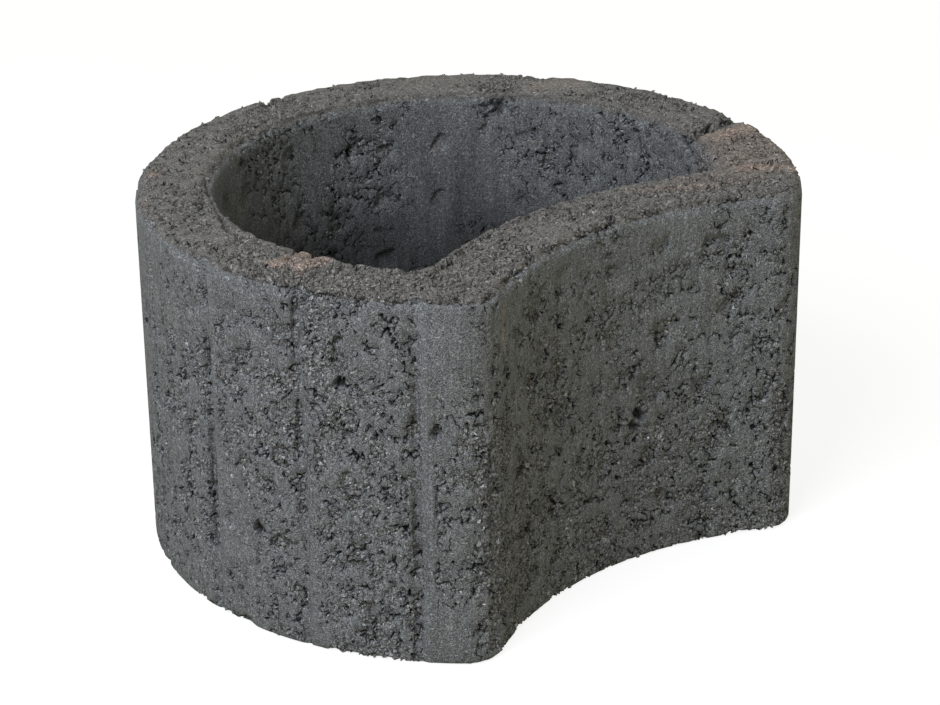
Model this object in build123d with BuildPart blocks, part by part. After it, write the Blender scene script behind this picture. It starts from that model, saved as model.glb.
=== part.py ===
from build123d import *
import math
import os
import random

# Planter ring, cast in one piece from earth-moist concrete in a block machine.
# It is a thick round wall, open at the top and the bottom, with one side pressed in
# to a crescent, so that the round back of the next ring nests into it.
# The base stands on the XY plane, the origin is the middle of the footprint, and the
# crescent faces -Y. All sizes are in millimetres.

# Plan of the ring
outer_radius = 175.0
laying_depth = 280.0
cut_radius = 189.0
wall = 41.0
front_wall = 44.5
horn_radius = 20.0
inner_corner_radius = 10.0

# Height, the worn upper edges, and the lower edges, which the pallet kept sharper
height = 197.0
arris_bevel = 3.0
base_bevel = 2.0

# Upright V grooves round the outside, from horn to horn
groove_count = 14
groove_pitch = 20.0
groove_width = 10.0
groove_depth = 3.5
groove_shoulder_radius = 5.0
groove_root_radius = 2.0

# Shallow hollows in the walls, where the stiff mix did not quite fill the mould
hollow_spacing = 35.0
hollow_reach = 8.5
hollow_depth = 1.8
hollow_lean = 7.0
hollow_margin = 8.0

# Shallow marks that the two bars of the mould's core leave across the top
bar_mark_width = 9.0
bar_mark_depth = 2.0
front_bar_y = -35.0
back_bar_y = 96.0

# Places that follow from the sizes, measured from the centre of the round wall
cut_centre_y = outer_radius - laying_depth - cut_radius
horn_reach = outer_radius - horn_radius
horn_gap = cut_radius + horn_radius
horn_centre_y = (cut_centre_y**2 + horn_reach**2 - horn_gap**2) / (2 * cut_centre_y)
horn_touch_y = horn_centre_y * outer_radius / horn_reach
horn_tip_y = horn_centre_y - horn_radius

inner_radius = outer_radius - wall
front_radius = cut_radius + front_wall
corner_y = (cut_centre_y**2 + inner_radius**2 - front_radius**2) / (2 * cut_centre_y)
corner_x = math.sqrt(inner_radius**2 - corner_y**2)
horn_centre_x = math.sqrt(horn_reach**2 - horn_centre_y**2)

# The centre of the round wall, in the part's own frame
ring_y = -(outer_radius + horn_tip_y) / 2

groove_span = groove_pitch * (groove_count - 1)
first_groove = 90 - groove_span / 2
groove_root = outer_radius - groove_depth
groove_mouth = outer_radius + groove_depth
last_corner_y = ring_y + horn_touch_y + groove_depth
bar_mark_radius = (bar_mark_width**2 / 4 + bar_mark_depth**2) / (2 * bar_mark_depth)
bar_mark_z = height + bar_mark_radius - bar_mark_depth


def from_ring_centre(vertex):
    return math.hypot(vertex.X, vertex.Y - ring_y)


# Outline in plan: the disc, the crescent cut out of it, and the rounded horns between
# the two arcs
with BuildSketch() as outline:
    with Locations((0, ring_y)):
        Circle(outer_radius)
    with Locations((0, ring_y + cut_centre_y)):
        Circle(cut_radius, mode=Mode.SUBTRACT)
    horn_tips = outline.vertices().group_by(Axis.Y)[0]
    fillet(horn_tips, horn_radius)


def groove_corners(sketch):
    """The corners that the grooves make, in rings about the centre of the round wall."""
    behind_horns = sketch.vertices().filter_by(lambda v: v.Y > last_corner_y)
    return behind_horns.group_by(from_ring_centre, tol_digits=2)


# The same outline with the V grooves, each with a narrow root and two soft shoulders
with BuildSketch() as grooved_outline:
    add(outline.sketch)
    with Locations((0, ring_y)):
        with PolarLocations(0, groove_count, first_groove, groove_span, endpoint=True):
            Polygon(
                (groove_root, 0),
                (groove_mouth, -groove_width),
                (groove_mouth, groove_width),
                align=None,
                mode=Mode.SUBTRACT,
            )
    fillet(groove_corners(grooved_outline)[0], groove_root_radius)
    fillet(groove_corners(grooved_outline)[-1], groove_shoulder_radius)

# Planting opening: a smaller disc, closed at the front by a face that runs parallel to
# the crescent
with BuildSketch() as opening:
    with Locations((0, ring_y)):
        Circle(inner_radius)
    with Locations((0, ring_y + cut_centre_y)):
        Circle(front_radius, mode=Mode.SUBTRACT)
    inner_corners = opening.vertices().group_by(Axis.Y)[0]
    fillet(inner_corners, inner_corner_radius)


scatter = random.Random(5)


def hollow_planes(radius, centre_y, half_span, inwards):
    """One plane for each hollow of an upright arc, scattered over it and leaning a little
    on its face. The arc is centred on the Y axis, half_span degrees to each side."""
    clear_span = half_span - math.degrees((hollow_margin + hollow_reach) / radius)
    columns = round(math.radians(2 * clear_span) * radius / hollow_spacing)
    clear_height = height - 2 * hollow_margin
    rows = round(clear_height / hollow_spacing)
    steepest = math.tan(math.radians(hollow_lean))
    for row in range(rows):
        for column in range(columns):
            across = (column + 0.5 + scatter.uniform(-0.3, 0.3)) / columns
            turn = math.radians(90 + clear_span * (2 * across - 1))
            level = hollow_margin + clear_height * (row + 0.5 + scatter.uniform(-0.2, 0.2)) / rows
            out = Vector(math.cos(turn), math.sin(turn), 0)
            lean = Vector(*(scatter.uniform(-steepest, steepest) for axis in range(3)))
            yield Plane(
                origin=out * radius + Vector(0, centre_y, level),
                z_dir=(-out if inwards else out) + lean,
            )


# Hollows: four-sided flakes of uneven shape, all over the upright walls
groove_half_span = groove_span / 2
inner_half_span = 90 - math.degrees(math.asin(corner_y / inner_radius))
cut_half_span = math.degrees(math.asin(horn_centre_x / horn_gap))
front_half_span = math.degrees(math.asin(corner_x / front_radius))
planes = [
    *hollow_planes(outer_radius, ring_y, groove_half_span, False),
    *hollow_planes(inner_radius, ring_y, inner_half_span, True),
    *hollow_planes(cut_radius, ring_y + cut_centre_y, cut_half_span, True),
    *hollow_planes(front_radius, ring_y + cut_centre_y, front_half_span, False),
]
with BuildPart() as hollows:
    for plane in planes:
        corners = []
        spin = scatter.uniform(0, 90)
        for quarter in range(4):
            reach = hollow_reach * scatter.uniform(0.55, 1.25)
            turn = math.radians(spin + 90 * quarter + scatter.uniform(-22, 22))
            corners.append((reach * math.cos(turn), reach * math.sin(turn)))
        with BuildSketch(plane.offset(-hollow_depth)):
            Polygon(*corners, align=None)
    extrude(amount=hollow_depth + hollow_reach)

# The ring: the walls with their edges all round, then the grooves, which run out
# through those edges, then the hollows and the marks across the top
with BuildPart() as planter_ring:
    add(outline.sketch)
    extrude(amount=height)
    add(opening.sketch)
    extrude(amount=height, mode=Mode.SUBTRACT)
    chamfer(planter_ring.faces().sort_by(Axis.Z)[-1].edges(), arris_bevel)
    chamfer(planter_ring.faces().sort_by(Axis.Z)[0].edges(), base_bevel)
    add(grooved_outline.sketch)
    extrude(amount=height, mode=Mode.INTERSECT)
    add(hollows.part, mode=Mode.SUBTRACT)
    with BuildSketch(Plane.YZ) as bar_section:
        with Locations((ring_y + front_bar_y, bar_mark_z), (ring_y + back_bar_y, bar_mark_z)):
            Circle(bar_mark_radius)
    extrude(amount=outer_radius, both=True, mode=Mode.SUBTRACT)

planter_ring.part.label = "planter_ring"

os.makedirs("parts", exist_ok=True)
export_step(planter_ring.part, "parts/planter_ring.step")
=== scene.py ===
import bmesh
import bpy
import math
import numpy as np
from mathutils import Matrix, Vector


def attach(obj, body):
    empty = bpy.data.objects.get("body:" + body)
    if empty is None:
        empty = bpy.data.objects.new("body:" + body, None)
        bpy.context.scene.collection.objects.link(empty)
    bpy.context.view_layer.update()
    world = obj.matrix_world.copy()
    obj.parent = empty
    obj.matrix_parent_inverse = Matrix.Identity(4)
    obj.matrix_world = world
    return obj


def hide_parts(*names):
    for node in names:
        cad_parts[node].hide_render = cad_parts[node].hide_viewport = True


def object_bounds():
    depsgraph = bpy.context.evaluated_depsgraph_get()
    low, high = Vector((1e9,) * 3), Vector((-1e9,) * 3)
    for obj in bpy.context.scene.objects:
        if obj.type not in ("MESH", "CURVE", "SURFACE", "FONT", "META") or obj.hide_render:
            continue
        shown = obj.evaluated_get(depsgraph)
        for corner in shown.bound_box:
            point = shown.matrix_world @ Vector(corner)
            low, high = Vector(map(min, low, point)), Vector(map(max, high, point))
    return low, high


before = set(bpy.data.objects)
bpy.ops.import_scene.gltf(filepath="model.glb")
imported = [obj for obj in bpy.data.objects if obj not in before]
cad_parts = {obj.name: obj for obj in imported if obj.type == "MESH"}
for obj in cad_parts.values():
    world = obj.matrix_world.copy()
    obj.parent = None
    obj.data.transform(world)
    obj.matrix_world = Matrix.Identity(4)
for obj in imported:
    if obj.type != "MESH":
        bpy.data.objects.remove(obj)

cad_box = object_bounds()

# Planter ring
# One block of dark grey concrete, pressed nearly dry in an upright steel mould and
# pushed out at once. It keeps flat skin with upright drag marks where it met the steel,
# and ragged open texture of coated grains, slits and holes where it did not.
mm = 0.001
ring_centre_y = -20.714
outer_radius = 175.0
crescent_centre_y = ring_centre_y - 294.0
crescent_radius = 189.0
inner_radius = 134.0
inner_front_radius = 233.5
top_z = 197.0
groove_pitch = 20.0

# Widths of what is seen on its surface, and depths of it below the steel, in millimetres.
# The mask of a slit rises past 1, to slit_peak, so it is that many times slit_depth deep.
patch_spread = 38.0
plate_spread = 11.0
slit_spread = 9.0
large_grain = 2.8
small_grain = 1.1
grain_shift = 2.2
sand = 0.7
basin_depth = 1.3
large_grain_depth = 1.0
small_grain_depth = 0.4
slit_depth = 2.0
slit_peak = 2.2
hole_depth = 3.2
top_depth = 3.0
top_grain_depth = 1.5
top_slit_depth = 2.2
crumb_depth = 3.6
crumb_reach = 8.0
tear_depth = 1.8

# The mesh: the size of its quads before it is thinned, and its triangles after
voxel_size = 1.05
triangle_budget = 190000


def linear(hex_colour):
    """A colour written as sRGB hex, as the linear values that shaders take."""
    channels = [int(hex_colour[i:i + 2], 16) / 255 for i in (1, 3, 5)]
    return [c / 12.92 if c <= 0.04045 else ((c + 0.055) / 1.055) ** 2.4 for c in channels] + [1.0]


def node(tree, kind, inputs=(), **settings):
    """One node with its settings. Its inputs, by name or in order, are values, sockets, or
    nodes that give their first output."""
    new = tree.nodes.new(kind)
    for key, value in settings.items():
        setattr(new, key, value)
    pairs = inputs.items() if isinstance(inputs, dict) else enumerate(inputs)
    for key, value in pairs:
        if isinstance(value, bpy.types.Node):
            value = value.outputs[0]
        if isinstance(value, bpy.types.NodeSocket):
            tree.links.new(value, new.inputs[key])
        elif value is not None:
            new.inputs[key].default_value = value
    return new


def soft_noise(points, cell, seed, layers=3):
    """Soft noise from about -1 to 1, with lumps of one cell of that many millimetres and
    finer, weaker layers on them. It repeats after 64 cells."""
    cells = 64
    total = np.zeros(len(points), np.float32)
    for layer in range(layers):
        table = np.random.default_rng(seed + layer).uniform(-1, 1, (cells,) * 3).astype(np.float32)
        p = points * (2**layer / cell)
        base = np.floor(p).astype(np.int32)
        f = p - base
        f = f * f * f * (f * (f * 6 - 15) + 10)
        for corner in np.ndindex(2, 2, 2):
            weight = np.prod(np.where(corner, f, 1 - f), axis=1)
            i = (base + corner) % cells
            total += 0.5**layer * weight * table[i[:, 0], i[:, 1], i[:, 2]]
    return total / sum(0.5**layer for layer in range(layers))


def ramp(value, start, end):
    """0 before start, 1 after end, and a smooth rise between."""
    t = np.clip((value - start) / (end - start), 0, 1)
    return t * t * (3 - 2 * t)


def finished(obj):
    """Makes the object's modifiers part of its mesh."""
    depsgraph = bpy.context.evaluated_depsgraph_get()
    mesh = bpy.data.meshes.new_from_object(obj.evaluated_get(depsgraph))
    old = obj.data
    obj.modifiers.clear()
    obj.data = mesh
    bpy.data.meshes.remove(old)


def relief(tree, field):
    """The pressed mix as a height in millimetres over the mould's steel, 0 or below, with
    the masks that its colour follows. The same nodes press the mesh and shade it."""
    place = field["rest"]

    # Skin where the mix met the steel, with ragged edges, and a basin where it did not
    patchy = node(
        tree,
        "ShaderNodeTexNoise",
        {"Vector": place, "Scale": 1000 / plate_spread, "Detail": 5.0, "Roughness": 0.64},
    )
    met = node(tree, "ShaderNodeMath", (field["fill"], 0.1, patchy), operation="MULTIPLY_ADD")
    skin = node(
        tree, "ShaderNodeMapRange", (met, 0.47, 0.50, 0.0, 1.0), interpolation_type="SMOOTHSTEP"
    )
    basin = node(tree, "ShaderNodeMapRange", (met, 0.50, 0.30, -0.2, -basin_depth))

    # Slits where two lumps of the mix met without bonding. They follow the lines on which
    # one channel of the noise is at its middle, and open where another is high.
    seams = node(
        tree,
        "ShaderNodeTexNoise",
        {"Vector": place, "Scale": 1000 / slit_spread, "Detail": 2.5, "Roughness": 0.55},
    )
    seam = node(tree, "ShaderNodeSeparateXYZ", (seams.outputs["Color"],))
    slits = []
    for across, middle, opener, closed, wide, width in (
        (1, 0.5, 2, 0.48, 0.64, 0.026),
        (0, 0.47, 1, 0.50, 0.66, 0.024),
    ):
        off_seam = node(tree, "ShaderNodeMath", (seam.outputs[across], middle), operation="SUBTRACT")
        off_seam = node(tree, "ShaderNodeMath", (off_seam,), operation="ABSOLUTE")
        opening = node(tree, "ShaderNodeMapRange", (seam.outputs[opener], closed, wide, 0.0, width))
        slits.append(node(tree, "ShaderNodeMapRange", (off_seam, opening, 0.0, 0.0, slit_peak)))
    slit = node(tree, "ShaderNodeMath", slits, operation="MAXIMUM")
    weak = node(tree, "ShaderNodeMapRange", (field["fill"], 0.6, 1.8, 1.0, 0.0))
    slit = node(tree, "ShaderNodeMath", (slit, weak), operation="MULTIPLY")

    # Coated grains of two sizes, shifted about so that they are not round, and holes
    # between some of them
    shaken = node(
        tree, "ShaderNodeTexNoise", {"Vector": place, "Scale": 1000 / grain_shift, "Detail": 1.0}
    )
    lumpy = node(
        tree,
        "ShaderNodeVectorMath",
        (shaken.outputs["Color"], (grain_shift * mm,) * 3, place),
        operation="MULTIPLY_ADD",
    )
    large = node(tree, "ShaderNodeTexVoronoi", {"Vector": lumpy, "Scale": 1000 / large_grain})
    small = node(tree, "ShaderNodeTexVoronoi", {"Vector": lumpy, "Scale": 1000 / small_grain})
    large_fall = node(tree, "ShaderNodeMath", (large, large), operation="MULTIPLY")
    small_fall = node(tree, "ShaderNodeMath", (small, small), operation="MULTIPLY")
    hollow = node(tree, "ShaderNodeMapRange", (seam.outputs[0], 0.52, 0.66, 0.0, 0.34))
    hollow = node(tree, "ShaderNodeMath", (shaken, hollow), operation="ADD")
    holes = node(tree, "ShaderNodeMapRange", (hollow, 0.95, 0.99, 0.0, weak))

    # The walls, and the struck top, which has no skin but is compact in places
    wall = node(
        tree, "ShaderNodeMath", (large_fall, -large_grain_depth, basin), operation="MULTIPLY_ADD"
    )
    wall = node(
        tree, "ShaderNodeMath", (small_fall, -small_grain_depth, wall), operation="MULTIPLY_ADD"
    )
    gone = node(tree, "ShaderNodeMath", (1.0, skin), operation="SUBTRACT")
    wall = node(tree, "ShaderNodeMath", (wall, gone), operation="MULTIPLY")
    wall = node(tree, "ShaderNodeMath", (slit, -slit_depth, wall), operation="MULTIPLY_ADD")
    wall = node(tree, "ShaderNodeMath", (holes, -hole_depth, wall), operation="MULTIPLY_ADD")
    top = node(tree, "ShaderNodeMapRange", (met, 0.54, 0.28, 0.0, -top_depth))
    top_loose = node(tree, "ShaderNodeMapRange", (met, 0.54, 0.45, 0.08, 1.0))
    top_grain = node(tree, "ShaderNodeMath", (large_fall, -top_grain_depth), operation="MULTIPLY")
    top = node(tree, "ShaderNodeMath", (top_grain, top_loose, top), operation="MULTIPLY_ADD")
    top = node(tree, "ShaderNodeMath", (slit, -top_slit_depth, top), operation="MULTIPLY_ADD")
    height = node(tree, "ShaderNodeMix", (field["struck"], None, wall, top))
    top_open = node(tree, "ShaderNodeMath", (field["struck"], top_loose), operation="MULTIPLY")
    open_share = node(tree, "ShaderNodeMath", (gone, top_open), operation="MAXIMUM")

    # Crumbs lost along the upper edges, and the marks of this one block
    lost = node(tree, "ShaderNodeMapRange", (patchy, 0.60, 0.34, 0.7, crumb_depth))
    lost = node(tree, "ShaderNodeMath", (lost, field["crumble"]), operation="MULTIPLY")
    height = node(tree, "ShaderNodeMath", (height, lost), operation="SUBTRACT")
    height = node(tree, "ShaderNodeMath", (height, field["scar"]), operation="SUBTRACT")
    height = node(tree, "ShaderNodeMath", (height, 0.0), operation="MINIMUM")
    return {
        "height": height,
        "open": open_share,
        "slit": slit,
        "holes": holes,
        "large": large,
        "small": small,
        "small_fall": small_fall,
    }


# The mould's shape, as an even skin of small quads
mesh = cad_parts["planter_ring"].data.copy()
work = bmesh.new()
work.from_mesh(mesh)
bmesh.ops.remove_doubles(work, verts=work.verts, dist=0.001 * mm)
work.to_mesh(mesh)
work.free()
mesh.materials.clear()
block = bpy.data.objects.new("concrete_block", mesh)
bpy.context.scene.collection.objects.link(block)
remesh = block.modifiers.new("even_skin", "REMESH")
remesh.mode = "VOXEL"
remesh.voxel_size = voxel_size * mm
soften = block.modifiers.new("soft_edges", "SMOOTH")
soften.factor = 0.5
soften.iterations = 3
finished(block)

count = len(block.data.vertices)
coordinates = np.empty(count * 3, np.float32)
block.data.vertices.foreach_get("co", coordinates)
rest = coordinates.reshape(-1, 3) / mm
normals = np.empty(count * 3, np.float32)
block.data.vertex_normals.foreach_get("vector", normals)
normals = normals.reshape(-1, 3)
x, y, z = rest.T


def along(start, end, reach):
    """1 on the line from start to end, and 0 further from it than reach, with a ragged
    edge."""
    start = np.array(start, np.float32)
    run = np.array(end, np.float32) - start
    t = np.clip((rest - start) @ run / max(run @ run, 1e-6), 0, 1)
    distance = np.linalg.norm(rest - start - t[:, None] * run, axis=1)
    near = distance < reach * 1.6
    value = np.zeros(count, np.float32)
    ragged = distance[near] + soft_noise(rest[near], 2.6, 61, 3) * reach * 0.8
    value[near] = 1 - ramp(ragged, reach * 0.45, reach)
    return value


# Which face of the block a point is on: the one whose mould is within the band, with the
# horns counted to the outside
face_band = 6.0
from_ring = np.hypot(x, y - ring_centre_y)
from_crescent = np.hypot(x, y - crescent_centre_y)
facing_up = ramp(normals[:, 2], 0.2, 0.55)
outer_face = from_ring > outer_radius - face_band
crescent_face = (from_crescent < crescent_radius + face_band) & (from_ring < outer_radius - 4)
inner_face = (from_ring < inner_radius + face_band) & (from_crescent > inner_front_radius - face_band)

# How far a point is from the upper edges
to_walls = np.minimum(
    np.minimum(outer_radius - from_ring, from_crescent - crescent_radius),
    np.maximum(from_ring - inner_radius, inner_front_radius - from_crescent),
)
to_rim = np.hypot(np.maximum(to_walls, 0) * (facing_up > 0.5), top_z - z)

# How well the mix filled the mould. It is pressed flat high on the walls, inside, round
# the horns and along the right flank of each groove, and left open low on the crescent,
# in the hollows and at one spot under the left horn's edge.
fill = soft_noise(rest * (1, 1, 0.7), patch_spread, 7) * 2.0 + 0.6
fill += (1.1 * ramp(z, 140, 185) - 0.25) * crescent_face + 1.6 * inner_face
fill -= 0.3 * ramp(-z, -110, -50) * crescent_face
fill += (0.8 * ramp(z, 140, 165) - 0.1 + 0.9 * ramp(-y, 128, 145)) * outer_face

# The right flank of each groove, by the degrees round the ring from the groove
turned = np.degrees(np.arctan2(y - ring_centre_y, x)) % groove_pitch
band = ramp(turned, 0.1, 0.5) * ramp(-turned, -3.2, -2.2) * outer_face
fill += band * (1.4 + soft_noise(rest, 30.0, 33))

# The hollows, by how far a point is behind the mould, and apart from the grooves
sunk = np.where(outer_face, outer_radius - from_ring, 0)
sunk = np.where(crescent_face, from_crescent - crescent_radius, sunk)
behind = np.minimum(from_ring - inner_radius, inner_front_radius - from_crescent)
sunk = np.where(inner_face, np.abs(behind), sunk)
off_groove = ramp(np.minimum(turned, groove_pitch - turned), 2.0, 3.0) * outer_face
on_wall = np.abs(normals[:, 2]) < 0.4
in_hollow = ramp(sunk, 0.2, 0.9) * on_wall * np.maximum(off_groove, ~outer_face)
fill -= 0.8 * in_hollow + 1.6 * along((-161, -89, 192), (-161, -89, 160), 14.0)

# The struck top is compact round the back and beside the core's bars, and loose over
# the crescent and on the left
struck_face = facing_up > 0.5
fill += struck_face * (0.9 * ramp(y, -90, 20) - ramp(-x, 40, 130) - 0.8)
fill += struck_face * np.clip(
    along((133, -69, 197), (162, -73, 197), 16.0)
    + along((128, 62, 197), (146, 52, 197), 16.0)
    + along((-131, -64, 197), (-150, -52, 197), 14.0),
    0,
    1,
)

# The left flank of each groove is torn open in places, down to a deeper root, whose colour the scars'
# painted shade darkens a little
torn = ramp(turned, groove_pitch - 1.1, groove_pitch - 0.6) + ramp(-turned, -0.3, 0.0)
torn *= outer_face * on_wall * ramp(soft_noise(rest * (1, 1, 0.6), 14.0, 35), -0.1, 0.3)

# The marks of this one block: how deep each is below the surface round it, from where
# to where it runs, and how far it reaches to the sides
pits_and_chips = (
    (6.0, (-172, -53, 60), (-172, -53, 58), 3.0),
    (5.0, (22, -127, 86), (25, -127, 83), 3.2),
    (4.0, (19, -127, 80), (22, -127, 78), 2.2),
    (3.5, (-176, -28, 0), (-174, -44, 0), 5.0),
    (3.0, (-152, -57, 197), (-170, -65, 183), 2.4),
    (4.0, (-164, -84, 197), (-164, -84, 178), 2.6),
    (4.5, (-155, -102, 151), (-155, -101, 149), 2.6),
    (4.0, (-155, -101, 172), (-156, -100, 169), 2.4),
    (3.0, (-128, -140, 129), (-128, -140, 127), 2.4),
    (3.0, (-135, -132, 178), (-134, -133, 170), 2.0),
)

# Where the core's bars lay: torn crevices, each beside a soft ridge. A depth below 0
# brings the surface back out towards the steel.
bar_crevices = (
    (3.4, (129, -58, 197), (148, -58, 197), 6.0),
    (3.0, (148, -58, 197), (167, -57, 197), 5.0),
    (3.5, (131, -50, 192), (129, -62, 184), 3.0),
    (2.6, (105, -101, 197), (135, -126, 197), 2.8),
    (2.2, (114, 70, 197), (101, 68, 188), 7.0),
    (1.6, (101, 68, 188), (96, 73, 175), 4.0),
    (1.4, (127, 71, 197), (112, 70, 197), 3.0),
    (2.5, (-105, 70, 197), (-143, -1, 197), 2.0),
    (2.5, (-134, -46, 197), (-152, -57, 197), 2.4),
)
bar_ridges = (
    (-3.0, (133, -69, 197), (162, -73, 197), 7.0),
    (-2.0, (110, -113, 197), (129, -132, 197), 5.0),
    (-2.0, (-134, -52, 197), (-153, -52, 197), 4.0),
    (-2.0, (-131, -64, 197), (-147, -64, 197), 4.0),
    (-3.0, (132, 62, 197), (146, 52, 197), 8.0),
)
# Each scar is cut into the mesh, and where it is deep its colour is also darkened with painted shade
scar = tear_depth * torn
for depth, start, end, reach in pits_and_chips + bar_crevices + bar_ridges:
    scar += depth * along(start, end, reach)

# Where dust of the pinkish aggregate shows, and how much of it
dust_marks = (
    (1.0, (136, -69, 197), (163, -73, 197), 8.0),
    (0.6, (112, -114, 197), (130, -132, 197), 7.0),
    (0.5, (43, -98, 197), (81, -122, 197), 3.4),
    (0.36, (112, -98, 197), (150, -98, 197), 40.0),
    (0.9, (-134, -52, 197), (-153, -52, 197), 6.0),
    (0.9, (-131, -64, 197), (-147, -64, 197), 6.0),
    (0.5, (128, 62, 197), (146, 52, 197), 9.0),
    (0.8, (-94, -151, 186), (-94, -151, 168), 2.6),
    (0.7, (-121, 93, 196), (-122, 91, 196), 5.0),
    (0.7, (-153, 61, 196), (-152, 63, 196), 4.0),
)
pink = sum(share * along(start, end, reach) for share, start, end, reach in dust_marks)

# The inside is darkened with painted shade: a little near the rim, and much more below, deep in the
# pit
inside_shade = inner_face * (0.1 + 0.9 * ramp(-z, -150, -108))

known = {
    "fill": fill,
    "struck": facing_up,
    "crumble": 1 - ramp(to_rim, 0.0, crumb_reach),
    "scar": scar,
    "pink": np.clip(pink, 0, 1),
    "inside_shade": inside_shade,
}
for name, values in known.items():
    attribute = block.data.attributes.new(name, "FLOAT", "POINT")
    attribute.data.foreach_set("value", np.ascontiguousarray(values, np.float32))
attribute = block.data.attributes.new("rest", "FLOAT_VECTOR", "POINT")
attribute.data.foreach_set("vector", coordinates)

# The relief, pressed into the skin
pressing = bpy.data.node_groups.new("open_texture", "GeometryNodeTree")
pressing.interface.new_socket("Geometry", in_out="INPUT", socket_type="NodeSocketGeometry")
pressing.interface.new_socket("Geometry", in_out="OUTPUT", socket_type="NodeSocketGeometry")
came_in = node(pressing, "NodeGroupInput")
field = {
    name: node(pressing, "GeometryNodeInputNamedAttribute", (name,), data_type="FLOAT")
    for name in known
}
field["rest"] = node(pressing, "GeometryNodeInputNamedAttribute", ("rest",), data_type="FLOAT_VECTOR")
surface = relief(pressing, field)
inward = node(pressing, "GeometryNodeInputNormal")
push = node(pressing, "ShaderNodeMath", (surface["height"], mm), operation="MULTIPLY")
offset = node(pressing, "ShaderNodeVectorMath", {0: inward, "Scale": push}, operation="SCALE")
torn_out = node(pressing, "ShaderNodeMath", (surface["slit"], surface["holes"]), operation="MAXIMUM")
in_scar = node(pressing, "ShaderNodeMapRange", (field["scar"], 1.5, 3.0, 0.0, 1.0))
torn_out = node(pressing, "ShaderNodeMath", (torn_out, in_scar), operation="MAXIMUM")
held = node(pressing, "ShaderNodeMath", (1.0, torn_out), operation="SUBTRACT")
held = node(pressing, "ShaderNodeMath", (held, surface["open"]), operation="MULTIPLY")
noted = node(
    pressing,
    "GeometryNodeStoreNamedAttribute",
    {"Geometry": came_in, "Name": "open", "Value": held},
    data_type="FLOAT",
    domain="POINT",
)
placed = node(pressing, "GeometryNodeSetPosition", {"Geometry": noted, "Offset": offset})
node(pressing, "NodeGroupOutput", (placed,))
pressed = block.modifiers.new("open_texture", "NODES")
pressed.node_group = pressing
finished(block)
pressed_mesh = block.data.copy()

for polygon in block.data.polygons:
    polygon.use_smooth = True
faces = len(block.data.polygons) * 2
if faces > triangle_budget:
    thin = block.modifiers.new("fewer_faces", "DECIMATE")
    thin.ratio = triangle_budget / faces
    finished(block)


def into_mould(mesh):
    """Presses flat what stands out of the mould's round wall or its crescent, or above or
    below the block."""
    points = np.empty(len(mesh.vertices) * 3, np.float32)
    mesh.vertices.foreach_get("co", points)
    points = points.reshape(-1, 3)
    for centre_y, radius, held in (
        (ring_centre_y, outer_radius, np.minimum),
        (crescent_centre_y, crescent_radius, np.maximum),
    ):
        centre = np.array((0, centre_y)) * mm
        across = points[:, :2] - centre
        reach = np.linalg.norm(across, axis=1)[:, None] / mm
        points[:, :2] = centre + across * held(1, radius / reach)
    points = np.clip(points, np.array(cad_box[0]), np.array(cad_box[1]))
    mesh.vertices.foreach_set("co", np.ascontiguousarray(points, np.float32).ravel())
    mesh.update()


into_mould(block.data)

# Dry-pressed concrete is matt: cool grey where cement milk came to the steel, and grey grains of many
# shades where the texture is open, with painted shade darkening the gaps between them nearly to black.
milk_dark = linear("#67696b")
milk_light = linear("#747779")
bare_wall = linear("#757677")
bare_top = linear("#6e6c69")
pinkish_dust = linear("#a18d82")
dust_cover = 0.7
# Painted shade: the share of its colour that the foot of the inside keeps
deepest_inside_shade = 0.3
matt = 0.85
cloud_spread = 25.0
drag_spread = 1.6
drag_squeeze = 0.06
# Painted shade: how far gaps, slits and scars are darkened, and the darkest colour left
small_gap_shade = 0.55
large_gap_shade = 0.4
slit_shade = 0.68
scar_shade = 0.8
darkest = 0.14
grain_bump = 0.9
sand_bump = 0.35
concrete = bpy.data.materials.new("dry_pressed_concrete")
concrete.use_nodes = True
tree = concrete.node_tree
shader = tree.nodes["Principled BSDF"]
field = {name: node(tree, "ShaderNodeAttribute", attribute_name=name).outputs["Fac"] for name in known}
field["rest"] = node(tree, "ShaderNodeAttribute", attribute_name="rest").outputs["Vector"]
surface = relief(tree, field)

cloudy = node(
    tree, "ShaderNodeTexNoise", {"Vector": field["rest"], "Scale": 1000 / cloud_spread, "Detail": 3.0}
)
milk = node(
    tree,
    "ShaderNodeMix",
    {"Factor": cloudy, "A": milk_dark, "B": milk_light},
    data_type="RGBA",
)
bare = node(
    tree,
    "ShaderNodeMix",
    {"Factor": field["struck"], "A": bare_wall, "B": bare_top},
    data_type="RGBA",
)
unskinned = node(tree, "ShaderNodeMath", (surface["open"], field["struck"]), operation="MAXIMUM")
tone = node(
    tree,
    "ShaderNodeMix",
    {"Factor": unskinned, "A": milk.outputs["Result"], "B": bare.outputs["Result"]},
    data_type="RGBA",
)
dusty = node(tree, "ShaderNodeMath", (field["pink"], dust_cover), operation="MULTIPLY")
tone = node(
    tree,
    "ShaderNodeMix",
    {"Factor": dusty, "A": tone.outputs["Result"], "B": pinkish_dust},
    data_type="RGBA",
)

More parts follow.
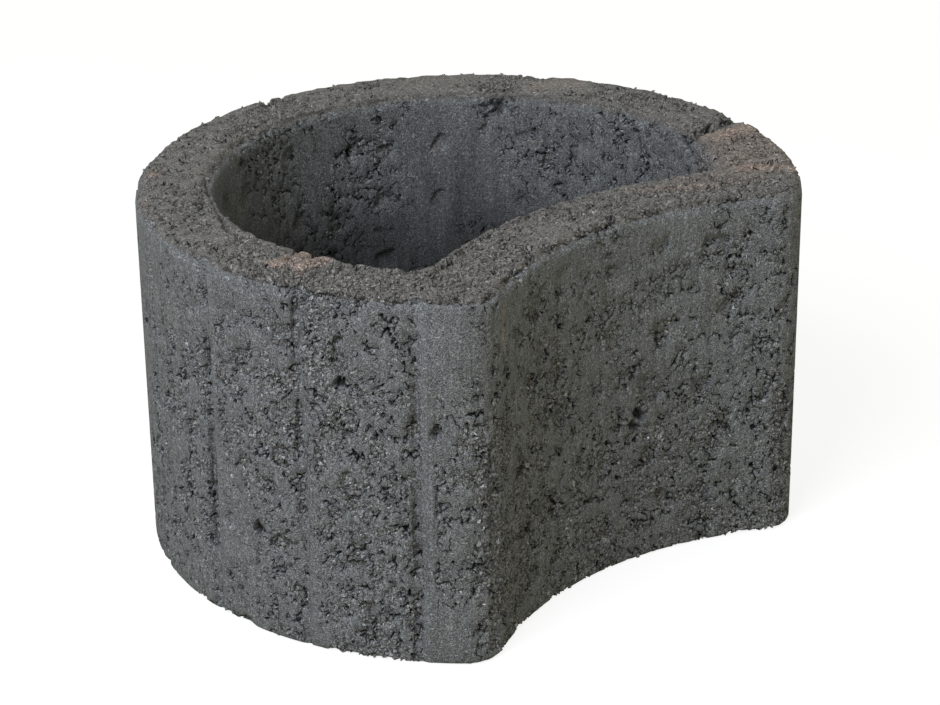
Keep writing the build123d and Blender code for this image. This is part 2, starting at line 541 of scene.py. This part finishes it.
# Each small grain has its own shade, and some are light
own = node(tree, "ShaderNodeSeparateXYZ", (surface["small"].outputs["Color"],))
loose = node(tree, "ShaderNodeMapRange", (surface["open"], 0.0, 1.0, 0.35, 1.0))
shade = node(tree, "ShaderNodeMapRange", (own.outputs[0], 0.0, 1.0, -0.65, 0.8))
light = node(tree, "ShaderNodeMapRange", (own.outputs[1], 0.84, 1.0, 0.0, 2.4))
shade = node(tree, "ShaderNodeMath", (shade, light), operation="ADD")
shade = node(tree, "ShaderNodeMath", (shade, loose, 1.0), operation="MULTIPLY_ADD")
grit = node(
    tree,
    "ShaderNodeTexNoise",
    {"Vector": field["rest"], "Scale": 1000 / sand, "Detail": 1.0, "Roughness": 0.7},
)
grit = node(tree, "ShaderNodeMapRange", (grit, 0.3, 0.7, 0.3, 1.7))
shade = node(tree, "ShaderNodeMath", (shade, grit), operation="MULTIPLY")
drawn = node(
    tree, "ShaderNodeVectorMath", (field["rest"], (1.0, 1.0, drag_squeeze)), operation="MULTIPLY"
)
drag = node(tree, "ShaderNodeTexNoise", {"Vector": drawn, "Scale": 1000 / drag_spread, "Detail": 2.0})
drag_shade = node(tree, "ShaderNodeMapRange", (drag, 0.3, 0.7, 0.88, 1.12))
shade = node(tree, "ShaderNodeMath", (shade, drag_shade), operation="MULTIPLY")
# Painted shade inside the ring, darker towards the bottom
inside_shading = node(tree, "ShaderNodeMapRange", (field["inside_shade"], 0.0, 1.0, 1.0, deepest_inside_shade))
shade = node(tree, "ShaderNodeMath", (shade, inside_shading), operation="MULTIPLY")

# Painted shade: gaps, slits, holes and deep scars are darkened nearly to black, for the shade that
# falls into them
cavity_shade = node(tree, "ShaderNodeMapRange", (surface["small"], 0.6, 0.9, 0.0, small_gap_shade))
wide_cavity_shade = node(tree, "ShaderNodeMapRange", (surface["large"], 0.72, 1.0, 0.0, large_gap_shade))
cavity_shade = node(tree, "ShaderNodeMath", (cavity_shade, wide_cavity_shade), operation="ADD")
cavity_shade = node(tree, "ShaderNodeMath", (cavity_shade, surface["open"]), operation="MULTIPLY")
cavity_shade = node(tree, "ShaderNodeMath", (surface["slit"], slit_shade, cavity_shade), operation="MULTIPLY_ADD")
cavity_shade = node(tree, "ShaderNodeMath", (surface["holes"], cavity_shade), operation="ADD")
scar_cavity_shade = node(tree, "ShaderNodeMapRange", (field["scar"], 1.5, 4.2, 0.0, scar_shade))
cavity_shade = node(tree, "ShaderNodeMath", (scar_cavity_shade, cavity_shade), operation="ADD", use_clamp=True)
lit = node(tree, "ShaderNodeMath", (1.0, cavity_shade), operation="SUBTRACT")
shade = node(tree, "ShaderNodeMath", (shade, lit), operation="MULTIPLY")
shade = node(tree, "ShaderNodeMath", (shade, darkest), operation="MAXIMUM")
colour = node(
    tree, "ShaderNodeVectorMath", {0: tone.outputs["Result"], "Scale": shade}, operation="SCALE"
)
tree.links.new(colour.outputs[0], shader.inputs["Base Color"])
shader.inputs["Roughness"].default_value = matt

# What the mesh is too coarse to hold, as bump: small grains and the edges of the skin
fine = node(tree, "ShaderNodeMath", (surface["small_fall"], surface["open"]), operation="MULTIPLY")
fine = node(tree, "ShaderNodeMath", (fine, -grain_bump), operation="MULTIPLY")
fine = node(tree, "ShaderNodeMath", (surface["height"], 1.0, fine), operation="MULTIPLY_ADD")
fine = node(tree, "ShaderNodeMath", (grit, sand_bump, fine), operation="MULTIPLY_ADD")
bump = node(tree, "ShaderNodeBump", {"Strength": 1.0, "Distance": mm, "Height": fine})
tree.links.new(bump.outputs["Normal"], shader.inputs["Normal"])
block.data.materials.clear()
block.data.materials.append(concrete)

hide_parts("planter_ring")
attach(block, "root")

# Coated grains
# Crushed stone of the mix, coated with cement paste. Where the mix didn't fill the mould
# the grains stand free, side by side, and where it did the skin covers them.

# Sizes are in millimetres. Each of a grain's three radii is grain_radius times something
# from smallest to largest.
grain_spacing = 1.75
grain_radius = 0.85
smallest = 0.55
largest = 1.75
knobble_width = 1.6
knobble_height = 3.4
grains_per_square_metre = 500000
full_turn = 6.3

growing = bpy.data.node_groups.new("standing_grains", "GeometryNodeTree")
growing.interface.new_socket("Geometry", in_out="INPUT", socket_type="NodeSocketGeometry")
growing.interface.new_socket("Geometry", in_out="OUTPUT", socket_type="NodeSocketGeometry")
came_in = node(growing, "NodeGroupInput")
share = node(growing, "GeometryNodeInputNamedAttribute", ("share",), data_type="FLOAT")
spread = node(
    growing,
    "GeometryNodeDistributePointsOnFaces",
    {
        "Mesh": came_in,
        "Distance Min": grain_spacing * mm,
        "Density Max": grains_per_square_metre,
        "Density Factor": share,
        "Seed": 3,
    },
    distribute_method="POISSON",
)
ball = node(growing, "GeometryNodeMeshIcoSphere", {"Radius": grain_radius * mm, "Subdivisions": 1})
size = node(
    growing,
    "FunctionNodeRandomValue",
    {0: (smallest,) * 3, 1: (largest,) * 3, "Seed": 1},
    data_type="FLOAT_VECTOR",
)
turn = node(
    growing,
    "FunctionNodeRandomValue",
    {0: (0.0,) * 3, 1: (full_turn,) * 3, "Seed": 2},
    data_type="FLOAT_VECTOR",
)
stood = node(
    growing,
    "GeometryNodeInstanceOnPoints",
    {"Points": spread.outputs["Points"], "Instance": ball, "Rotation": turn, "Scale": size},
)
real = node(growing, "GeometryNodeRealizeInstances", {"Geometry": stood})
place = node(growing, "GeometryNodeInputPosition")
bumps = node(
    growing, "ShaderNodeTexNoise", {"Vector": place, "Scale": 1000 / knobble_width, "Detail": 1.0}
)
knobble = node(
    growing, "ShaderNodeVectorMath", (bumps.outputs["Color"], (0.5, 0.5, 0.5)), operation="SUBTRACT"
)
knobble = node(
    growing, "ShaderNodeVectorMath", {0: knobble, "Scale": knobble_height * mm}, operation="SCALE"
)
broken = node(growing, "GeometryNodeSetPosition", {"Geometry": real, "Offset": knobble})
node(growing, "NodeGroupOutput", (broken,))

# A coated grain has the grey of the paste, darker or lighter from one to the next
coated = bpy.data.materials.new("cement_coated_stone")
coated.use_nodes = True
tree = coated.node_tree
shader = tree.nodes["Principled BSDF"]
field = {
    name: node(tree, "ShaderNodeAttribute", attribute_name=name).outputs["Fac"]
    for name in ("struck", "pink", "inside_shade")
}
field["rest"] = node(tree, "ShaderNodeAttribute", attribute_name="rest").outputs["Vector"]
tone = node(
    tree,
    "ShaderNodeMix",
    {"Factor": field["struck"], "A": bare_wall, "B": bare_top},
    data_type="RGBA",
)
dusty = node(tree, "ShaderNodeMath", (field["pink"], dust_cover), operation="MULTIPLY")
tone = node(
    tree,
    "ShaderNodeMix",
    {"Factor": dusty, "A": tone.outputs["Result"], "B": pinkish_dust},
    data_type="RGBA",
)
own = node(tree, "ShaderNodeTexWhiteNoise", {"Vector": field["rest"]})
own_parts = node(tree, "ShaderNodeSeparateXYZ", (own.outputs["Color"],))
shade = node(tree, "ShaderNodeMapRange", (own_parts.outputs[0], 0.0, 1.0, 0.65, 1.35))
light = node(tree, "ShaderNodeMapRange", (own_parts.outputs[1], 0.88, 1.0, 0.0, 1.2))
shade = node(tree, "ShaderNodeMath", (shade, light), operation="ADD")
spot = node(tree, "ShaderNodeTexCoord")
grit = node(
    tree,
    "ShaderNodeTexNoise",
    {"Vector": spot.outputs["Object"], "Scale": 1000 / sand, "Detail": 1.0, "Roughness": 0.7},
)
grit = node(tree, "ShaderNodeMapRange", (grit, 0.3, 0.7, 0.35, 1.65))
shade = node(tree, "ShaderNodeMath", (shade, grit), operation="MULTIPLY")
# Painted shade inside the ring, darker towards the bottom, as on the block
inside_shading = node(tree, "ShaderNodeMapRange", (field["inside_shade"], 0.0, 1.0, 1.0, deepest_inside_shade))
shade = node(tree, "ShaderNodeMath", (shade, inside_shading), operation="MULTIPLY")
colour = node(
    tree, "ShaderNodeVectorMath", {0: tone.outputs["Result"], "Scale": shade}, operation="SCALE"
)
tree.links.new(colour.outputs[0], shader.inputs["Base Color"])
shader.inputs["Roughness"].default_value = matt
bump = node(tree, "ShaderNodeBump", {"Strength": 0.5, "Distance": 0.4 * mm, "Height": grit})
tree.links.new(bump.outputs["Normal"], shader.inputs["Normal"])

# One piece for each part of the surface, so that none has too many triangles
on_outside = outer_face & on_wall
places = {
    "grains_outside_left": on_outside & (x < 0),
    "grains_outside_right": on_outside & (x >= 0),
    "grains_inside": inner_face & on_wall,
    "grains_crescent": crescent_face & on_wall,
    "grains_top_and_base": ~on_wall,
}
opened = np.empty(count, np.float32)
pressed_mesh.attributes["open"].data.foreach_get("value", opened)
for name, chosen in places.items():
    skin = pressed_mesh.copy()
    attribute = skin.attributes.new("share", "FLOAT", "POINT")
    attribute.data.foreach_set("value", np.ascontiguousarray(opened * chosen, np.float32))
    grains = bpy.data.objects.new(name, skin)
    bpy.context.scene.collection.objects.link(grains)
    grow = grains.modifiers.new("standing_grains", "NODES")
    grow.node_group = growing
    finished(grains)
    into_mould(grains.data)
    grains.data.materials.clear()
    grains.data.materials.append(coated)
    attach(grains, "root")

# Studio
# A white sheet to stand on, lit from the left and above by a large soft lamp and evenly
# by a pale room.
sheet_half_width = 6.0
sheet_tone = linear("#828282")
sheet_glow = 0.86
card_tone = linear("#bdb8a8")
lamp_place = (-1.8, -0.55, 1.95)
lamp_aim = (0, 0, 0.1)
lamp_width = 1.2
lamp_watts = 58.0
lamp_colour = linear("#ebf1ff")
room_colour = linear("#fff9dc")
room_strength = 0.4
white_light = (1, 1, 1, 1)

floor_mesh = bpy.data.meshes.new("floor")
work = bmesh.new()
bmesh.ops.create_grid(work, x_segments=1, y_segments=1, size=sheet_half_width)
work.to_mesh(floor_mesh)
work.free()
floor = bpy.data.objects.new("floor", floor_mesh)
bpy.context.scene.collection.objects.link(floor)

# The sheet gives the block the light of grey card, and looks white with a pale shadow
paper = bpy.data.materials.new("white_paper")
paper.use_nodes = True
paper_tree = paper.node_tree
paper_tree.nodes.clear()
card = node(paper_tree, "ShaderNodeBsdfDiffuse", (card_tone,))
sheet = node(paper_tree, "ShaderNodeBsdfDiffuse", (sheet_tone,))
glow = node(paper_tree, "ShaderNodeEmission", (white_light, sheet_glow))
seen_sheet = node(paper_tree, "ShaderNodeAddShader", (sheet, glow))
path = node(paper_tree, "ShaderNodeLightPath")
paper_mix = node(paper_tree, "ShaderNodeMixShader", (path.outputs["Is Camera Ray"], card, seen_sheet))
node(paper_tree, "ShaderNodeOutputMaterial", {"Surface": paper_mix})
floor_mesh.materials.append(paper)

# The camera stands where the photograph was taken from, as fitted to the block's outline
camera_distance = 8.2922 * outer_radius
camera_azimuth = math.radians(-41.4148)
camera_elevation = math.radians(23.6549)
camera_roll = math.radians(-0.6528)
camera_lens = 102.168
camera_target = Vector((0.0132, 0.0169, 0.5238)) * outer_radius + Vector((0, ring_centre_y, 0))
back = Vector((
    math.sin(camera_azimuth) * math.cos(camera_elevation),
    -math.cos(camera_azimuth) * math.cos(camera_elevation),
    math.sin(camera_elevation),
))
level_right = Vector((math.cos(camera_azimuth), math.sin(camera_azimuth), 0))
level_up = back.cross(level_right)
right = level_right * math.cos(camera_roll) + level_up * math.sin(camera_roll)
up = level_up * math.cos(camera_roll) - level_right * math.sin(camera_roll)
camera_data = bpy.data.cameras.new("camera")
camera_data.lens = camera_lens
camera_data.sensor_width = 36.0
camera_data.clip_start = 0.05
camera_data.clip_end = 50.0
camera = bpy.data.objects.new("camera", camera_data)
axes = Matrix((right, up, back)).transposed().to_4x4()
camera.matrix_world = Matrix.Translation((camera_target + back * camera_distance) * mm) @ axes
bpy.context.scene.collection.objects.link(camera)
bpy.context.scene.camera = camera

# A large window from the left, and a pale room that is plain white behind the block
window = bpy.data.lights.new("window_lamp", "AREA")
window.shape = "SQUARE"
window.size = lamp_width
window.energy = lamp_watts
window.color = lamp_colour[:3]
window_lamp = bpy.data.objects.new("window_lamp", window)
window_lamp.location = lamp_place
aim = Vector(lamp_aim) - window_lamp.location
window_lamp.rotation_euler = aim.to_track_quat("-Z", "Y").to_euler()
bpy.context.scene.collection.objects.link(window_lamp)

world = bpy.data.worlds.new("studio")
world.use_nodes = True
world_tree = world.node_tree
world_tree.nodes.clear()
path = node(world_tree, "ShaderNodeLightPath")
seen = node(
    world_tree,
    "ShaderNodeMath",
    (path.outputs["Is Camera Ray"], path.outputs["Is Glossy Ray"]),
    operation="MAXIMUM",
)
room = node(world_tree, "ShaderNodeBackground", {"Color": room_colour, "Strength": room_strength})
white = node(world_tree, "ShaderNodeBackground", {"Color": white_light, "Strength": 1.0})
mixed = node(world_tree, "ShaderNodeMixShader", (seen, room, white))
node(world_tree, "ShaderNodeOutputWorld", {"Surface": mixed})
bpy.context.scene.world = world
bpy.context.scene.view_settings.view_transform = "Standard"
